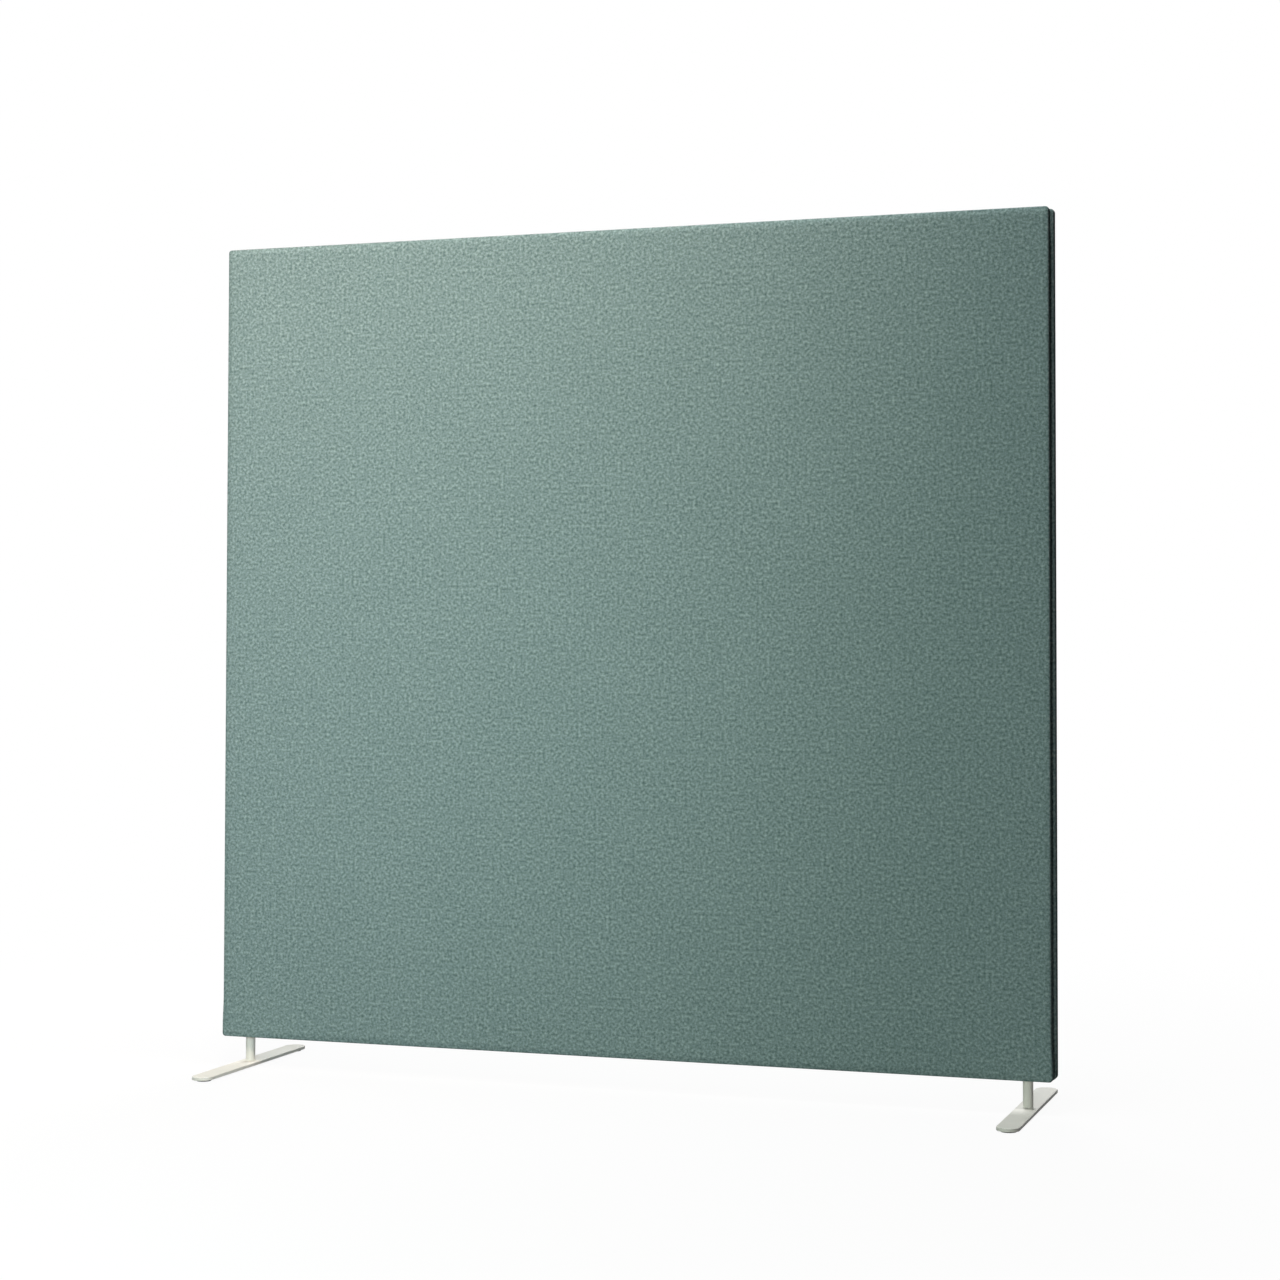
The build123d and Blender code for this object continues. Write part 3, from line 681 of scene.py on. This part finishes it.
def cloth_face():
    """The face: its points, their places on the flat cloth, the quads and the rim."""
    xs = face_lines(FACE_X, POST_LINES)
    zs = face_lines(FACE_Z, GROOVE_END_LINES)
    flat_x, flat_z = rounded_grid(xs, zs)
    points = np.stack([flat_x, face_y(flat_x, flat_z), flat_z], -1).reshape(-1, 3)
    weave = np.stack([flat_x, flat_z, np.zeros_like(flat_x)], -1).reshape(-1, 3)
    return points, weave, grid_faces(len(xs), len(zs)), np.array(grid_rim(len(xs), len(zs)))


def cloth_rings(rim):
    """The rings round the face's rim: their points, and the points' places on the flat cloth."""
    outward = ways_out(rim)
    half_gap, lip, wall = groove_shape(rim)
    turning, on_bend = round_the_corner(rim)
    on_lip = rim + outward * (EDGE - lip)[:, None]
    level = np.zeros(len(rim))
    run = level
    last = np.stack([level + EDGE, level + HALF_THICKNESS - PILLOW])
    rings = turn_in(half_gap, lip, wall)
    bend_shares = [0] * (len(rings) - 2) + [0.5, 1.0]
    for (depth, y), bend_share in zip(rings, bend_shares):
        at = rim + outward * (EDGE - depth)[:, None]
        if bend_share:
            at = np.where(turning, on_lip * (1 - bend_share) + on_bend * bend_share, at)
        here = np.stack([depth, y])
        run = run + np.linalg.norm(here - last, axis=0)
        last = here
        yield np.stack([at[:, 0], y, at[:, 1]], -1), np.c_[rim + outward * run[:, None], level]


def cover_half(name, side):
    """One half of the cover: a face, rounded edges, and a rolled lip that turns in to the zip."""
    points, weave, faces, previous = cloth_face()
    count = len(previous)
    for ring_points, ring_weave in cloth_rings(points[previous][:, [0, 2]]):
        ring = np.arange(len(points), len(points) + count)
        points = np.vstack([points, ring_points])
        weave = np.vstack([weave, ring_weave])
        faces += band(previous, ring)
        previous = ring
    moved = half_shift(points, side)

    # The last ring, at the zip, keeps its place, and the ring before it goes half of the way
    moved[-2 * count:-count] /= 2
    moved[-count:] = 0
    points += moved
    open_eyelets(points)
    points[:, 2] += MIDDLE_Z
    points[:, 1] *= side
    if side > 0:
        weave[:, 0] += REAR_CUT
        faces = [face[::-1] for face in faces]
    return thickened(name, points, weave, faces, previous)


for name, side in HALVES.items():
    cover = cover_half(f"{name}_cover_cloth", side)
    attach(cover, "panel")
    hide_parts(f"{name}_cover")


# Inside: wadding and fibre slabs, which keep the shape of their solids
SLAB_EDGE = 1.2 * MM  # how far a slab's edges are softened


def soft_copy(node, name, material, edge=0.0):
    """A solid's own mesh without its cuts between flat triangles, its edges softened if asked."""
    piece = nodes[node].copy()
    piece.data = nodes[node].data.copy()
    piece.name = piece.data.name = name
    for key in list(piece.keys()):
        del piece[key]
    scene.collection.objects.link(piece)
    piece.parent = None
    work = bmesh.new()
    work.from_mesh(piece.data)
    bmesh.ops.remove_doubles(work, verts=work.verts, dist=0.001 * MM)
    bmesh.ops.dissolve_limit(work, angle_limit=radians(1), verts=work.verts, edges=work.edges)
    if edge:
        bmesh.ops.bevel(work, geom=list(work.edges), offset=edge, segments=3, profile=0.5, affect="EDGES")
    bmesh.ops.recalc_face_normals(work, faces=work.faces)
    work.to_mesh(piece.data)
    work.free()
    piece.data.materials.clear()
    piece.data.materials.append(material)
    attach(piece, "panel")
    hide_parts(node)
    return piece


for name, side in HALVES.items():
    pad = soft_copy(f"{name}_wadding", f"{name}_wadding_pad", wadding_fibre)
    if side < 0:
        for vertex in pad.data.vertices:
            vertex.co.x += edge_shift(vertex.co.x, HALF_WIDTH, -FRONT_SHY)
    for half in ("left", "right"):
        slab = soft_copy(f"{name}_{half}_absorber", f"{name}_{half}_slab", slab_fibre, SLAB_EDGE)


# The zip's path: up the left side, round the top corners and down the right side
BEND_PLACES = 13


def places(start, end, step):
    return np.linspace(start, end, max(2, int(abs(end - start) / step)))


def zip_path(depth, low_left, low_right, step):
    """Points along the zip (x, z), each with the direction out of the panel, and the distance run."""
    bend = ZIP_BEND - depth
    x, top = HALF_WIDTH - ZIP_BEND, TOP - ZIP_BEND
    path = [(-x - bend, z, -1, 0) for z in places(low_left, top, step)]
    for a in np.linspace(pi, pi / 2, BEND_PLACES)[1:]:
        path.append((-x + bend * cos(a), top + bend * sin(a), cos(a), sin(a)))
    path += [(across, top + bend, 0, 1) for across in places(-x, x, step)[1:]]
    for a in np.linspace(pi / 2, 0, BEND_PLACES)[1:]:
        path.append((x + bend * cos(a), top + bend * sin(a), cos(a), sin(a)))
    path += [(x + bend, z, 1, 0) for z in places(top, low_right, step)[1:]]
    path = np.array(path)
    run = np.r_[0, np.cumsum(np.linalg.norm(np.diff(path[:, :2], axis=0), axis=1))]
    return path, run


def parted(path):
    """How far the rows are pushed aside at each point, inside the slider."""
    on_left = path[:, 0] < -HALF_WIDTH + ZIP_BEND
    return np.where(on_left, SPREAD * np.clip((SPLIT_Z - path[:, 1]) / (SPLIT_Z - NOSE_Z), 0, 1), 0)


# The tape's section in millimetres: across from its edge by the teeth, and down into the groove
CORD_OUTSIDE = [(0.0, 0.02), (0.15, -0.12), (0.7, -0.14), (1.2, 0.0)]
TAPE_FACE = [(1.9, 0.04), (6.0, 0.04), (9.8, 0.04)]
TAPE_BACK = [(9.8, 0.56), (1.2, 0.56), (0.15, 0.5)]
TAPE_SECTION = CORD_OUTSIDE + TAPE_FACE + TAPE_BACK


def zip_tape(name, side):
    """A woven tape with a thicker corded edge by the teeth, and its length."""
    path, run = zip_path(TAPE_DEPTH, TAPE_END, TAPE_END, 4 * MM)
    rows_end = np.where(path[:, 0] < 0, LEFT_ROWS_END, RIGHT_ROWS_END)
    edge = np.where(path[:, 1] < rows_end, BARE_TAPE_EDGE, CORD_EDGE + parted(path))
    points, weave = [], []
    for (x, z, out_x, out_z), start, length in zip(path, edge, run):
        for across, depth in TAPE_SECTION:
            y = min(start + across * MM, TAPE_OUTSIDE)
            points.append((x - out_x * depth * MM, side * y, z - out_z * depth * MM))
            weave.append((y, length, 0))
    count = len(TAPE_SECTION)
    loops = np.arange(len(points)).reshape(-1, count)
    faces = []
    for here, following in zip(loops, loops[1:]):
        faces += band(here, following)
    faces += [tuple(loops[0]), tuple(loops[-1])]
    tape = mesh_object(name, points, faces, tape_weave, weave=weave)
    fix_normals(tape)
    return tape, run[-1]


for name, side in HALVES.items():
    tape, run_length = zip_tape(f"{name}_tape_weave", side)
    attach(tape, "panel")
    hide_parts(f"{name}_zip_tape")


# What repeats along the zip: a tree that sets one shape at an even pitch along a line
def line_object(name, points):
    """A line of straight stretches through the points."""
    curve = bpy.data.curves.new(name, "CURVE")
    curve.dimensions = "3D"
    curve.twist_mode = "Z_UP"
    spline = curve.splines.new("POLY")
    spline.points.add(len(points) - 1)
    for point, co in zip(spline.points, points):
        point.co = (*co, 1)
    return added(name, curve)


def block(centre, size):
    return "GeometryNodeMeshCube", {"Size": size}, centre


def rod(diameter, length, sides):
    sockets = {"Vertices": sides, "Radius": diameter / 2, "Depth": length}
    return "GeometryNodeMeshCylinder", sockets, (0, 0, 0)


def repeat_tree(name, parts, material):
    """Blocks and rods, repeated along a curve at the tree's one input, Pitch."""
    tree = bpy.data.node_groups.new(name, "GeometryNodeTree")
    tree.interface.new_socket("Geometry", in_out="INPUT", socket_type="NodeSocketGeometry")
    tree.interface.new_socket("Pitch", in_out="INPUT", socket_type="NodeSocketFloat")
    tree.interface.new_socket("Geometry", in_out="OUTPUT", socket_type="NodeSocketGeometry")

    def add(kind, sockets, settings=None):
        made = tree.nodes.new(kind)
        for key, value in (settings or {}).items():
            setattr(made, key, value)
        for key, value in sockets.items():
            if isinstance(value, bpy.types.NodeSocket):
                tree.links.new(value, made.inputs[key])
            else:
                made.inputs[key].default_value = value
        return made.outputs

    given = add("NodeGroupInput", {})
    along = {"Curve": given["Geometry"], "Length": given["Pitch"]}
    spaced = add("GeometryNodeCurveToPoints", along, {"mode": "LENGTH"})
    joined = tree.nodes.new("GeometryNodeJoinGeometry")
    for kind, sockets, centre in parts:
        shape = add(kind, sockets)["Mesh"]
        shifted = add("GeometryNodeTransform", {"Geometry": shape, "Translation": centre})
        tree.links.new(shifted["Geometry"], joined.inputs["Geometry"])
    on_points = {"Points": spaced["Points"], "Instance": joined.outputs[0], "Rotation": spaced["Rotation"]}
    placed = add("GeometryNodeInstanceOnPoints", on_points)
    real = add("GeometryNodeRealizeInstances", {"Geometry": placed["Instances"]})
    painted = add("GeometryNodeSetMaterial", {"Geometry": real["Geometry"], "Material": material})
    add("NodeGroupOutput", {"Geometry": painted["Geometry"]})
    return tree


def repeated(name, line, tree, pitch):
    """Runs the tree on the line and keeps the result as a plain mesh."""
    modifier = line.modifiers.new(name, "NODES")
    modifier.node_group = tree
    for item in tree.interface.items_tree:
        if item.item_type == "SOCKET" and item.in_out == "INPUT" and item.name == "Pitch":
            modifier[item.identifier] = pitch
    bpy.context.view_layer.update()
    mesh = bpy.data.meshes.new_from_object(line.evaluated_get(bpy.context.evaluated_depsgraph_get()))
    bpy.data.objects.remove(line)
    mesh.name = name
    return added(name, mesh)


# A tooth in three blocks: how far the middle lies towards the tape, and the size
TOOTH_NECK = (0.35 * MM, (2.5 * MM, 1.9 * MM, 1.5 * MM))
TOOTH_HEAD = (-1.1 * MM, (2.6 * MM, 1.25 * MM, 2.0 * MM))
TOOTH_FOOT = (1.1 * MM, (3.0 * MM, 0.8 * MM, 1.9 * MM))
TOOTH_PITCH = 3.0 * MM
LEFT_TEETH_START = NOSE_Z + 0.5 * MM
RIGHT_TEETH_START = NOSE_Z + 1.5 * MM
LINE_STEP = 2 * MM
STITCH_PITCH = 3.4 * MM
STITCH_LENGTH = 2.3 * MM
STITCH_DEPTH = TAPE_DEPTH - 0.1 * MM
STITCH_Y = 6.1 * MM  # from the panel's mid-plane
THREAD = 0.36 * MM  # diameter


def row_of_teeth(name, side):
    """A row of teeth. The rear row starts over half a pitch further on, so that the rows interlock."""
    path, run = zip_path(ZIP_DEPTH, LEFT_TEETH_START, RIGHT_TEETH_START, LINE_STEP)
    middle = (ROW_INSIDE + ROW_OUTSIDE) / 2 + parted(path)
    points = np.stack([path[:, 0], side * middle, path[:, 1]], -1)
    if side > 0:
        points = points[run > TOOTH_PITCH / 2]
    blocks = [block((0, side * y, 0), size) for y, size in (TOOTH_NECK, TOOTH_HEAD, TOOTH_FOOT)]
    tree = repeat_tree(f"{name}_teeth", blocks, zip_teeth_plastic)
    return repeated(f"{name}_teeth_row", line_object(f"{name}_row_line", points), tree, TOOTH_PITCH)


def line_of_stitches(name, side):
    path, _ = zip_path(STITCH_DEPTH, GROOVE_END, GROOVE_END, LINE_STEP)
    points = np.stack([path[:, 0], np.full(len(path), side * STITCH_Y), path[:, 1]], -1)
    tree = repeat_tree(f"{name}_stitch", [rod(THREAD, STITCH_LENGTH, 6)], sewing_thread)
    return repeated(f"{name}_tape_stitches", line_object(f"{name}_stitch_line", points), tree, STITCH_PITCH)


for name, side in HALVES.items():
    row = row_of_teeth(name, side)
    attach(row, "panel")
    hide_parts(f"{name}_zip_teeth")
    seam = line_of_stitches(name, side)
    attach(seam, "panel")


# Studio: softboxes, a pale floor that shows white to the camera, and a low even fill
def lamp(name, at, aim, size, power, colour=(1.0, 1.0, 1.0), spread=180.0):
    """A softbox at a place, aimed at a point. Power in watts, spread in degrees."""
    light = bpy.data.lights.new(name, "AREA")
    light.shape, light.size, light.size_y = "RECTANGLE", size[0], size[1]
    light.energy, light.color, light.spread = power, colour, radians(spread)
    holder = added(name, light)
    holder.location = at
    holder.rotation_euler = (Vector(aim) - Vector(at)).to_track_quat("-Z", "Y").to_euler()


lamp("high_softbox", (0.42, -2.34, 3.5), (-2.9, 0, 2.5), (0.8, 0.8), 110, (0.98, 0.8, 0.7), 121.0)
lamp("left_softbox", (-0.3, -2.2, 0.7), (-0.8, 0, 0.8), (0.8, 0.8), 17.5, (0.79, 1.0, 0.87))
lamp("far_left_softbox", (0.2, -2.6, 0.8), (-3.0, 0, 1.2), (0.8, 0.8), 9.5, (0.57, 0.7, 1.0), 114.0)
lamp("front_softbox", (0.95, -5.2, 1.1), (0.35, 0, 0.8), (0.8, 0.8), 67)
lamp("overhead_softbox", (0.45, -0.5, 4.2), (0.45, -0.5, 0), (0.6, 1.0), 22, spread=90.0)
lamp("rear_softbox", (-0.6, 3.2, 2.3), (-0.2, 0, 0.8), (1.6, 1.6), 110)
lamp("zip_side_softbox", (-3.2, 1.1, 1.0), (-0.8, 0.1, 0.7), (1.0, 1.0), 40)

FLOOR_REACH = 9
FLOOR_TONE = (0.12, 0.12, 0.12)
NEAR_WHITE = 0.94  # how far the floor near the screen is white to the camera
NEAR_END = 0.9
FAR_START = 2.6
FILL_LIGHT = 0.02


def floor_paper(name):
    """White to the camera, all the more away from the screen, and dull to the lamps' light."""
    f = Finish(name)
    rays = f.node("LightPath", out="Is Camera Ray")
    seen = rays + rays.output("Is Glossy Ray") + rays.output("Is Transmission Ray")
    matt = f.node("BsdfDiffuse", None, {"Color": f.mixed(seen, FLOOR_TONE, (0.8, 0.8, 0.8))})
    white = f.node("Emission", None, {"Color": (1, 1, 1, 1), "Strength": 1.0})
    far = f.node("VectorMath", {"operation": "LENGTH"}, {0: f.place()}, "Value")
    share = f.clamp(seen, 0.0, 1.0) * f.clamp(far, NEAR_END, FAR_START, NEAR_WHITE, 1.0, True)
    return f.ended(f.node("MixShader", None, {0: share, 1: matt, 2: white}))


floor_corners = [(FLOOR_REACH * x, FLOOR_REACH * y, 0) for x, y in ((-1, -1), (1, -1), (1, 1), (-1, 1))]
floor = mesh_object("studio_floor", floor_corners, [(0, 1, 2, 3)], floor_paper("floor_paper"), False)


def studio_world(name):
    """White to the camera and in reflections, and a faint fill otherwise."""
    f = Finish(name, bpy.data.worlds)
    rays = f.node("LightPath", out="Is Camera Ray")
    white = f.maths("MAXIMUM", rays, rays.output("Is Glossy Ray"))
    strength = f.clamp(white, 0.0, 1.0, FILL_LIGHT, 1.0)
    return f.ended(f.node("Background", None, {"Color": (1, 1, 1, 1), "Strength": strength}), "OutputWorld")


scene.world = studio_world("studio")

# The camera stands where the photo's stood, as fitted to the panel's edges
camera = added("camera", bpy.data.cameras.new("camera"))
camera.location = (1.5298, -4.4008, 0.8025)
camera.rotation_euler = (radians(91.884), radians(-0.11), radians(18.715))
camera.data.sensor_width = 36
camera.data.lens = 71.0
camera.data.shift_y = -0.0573
scene.camera = camera
scene.view_settings.view_transform = "Standard"
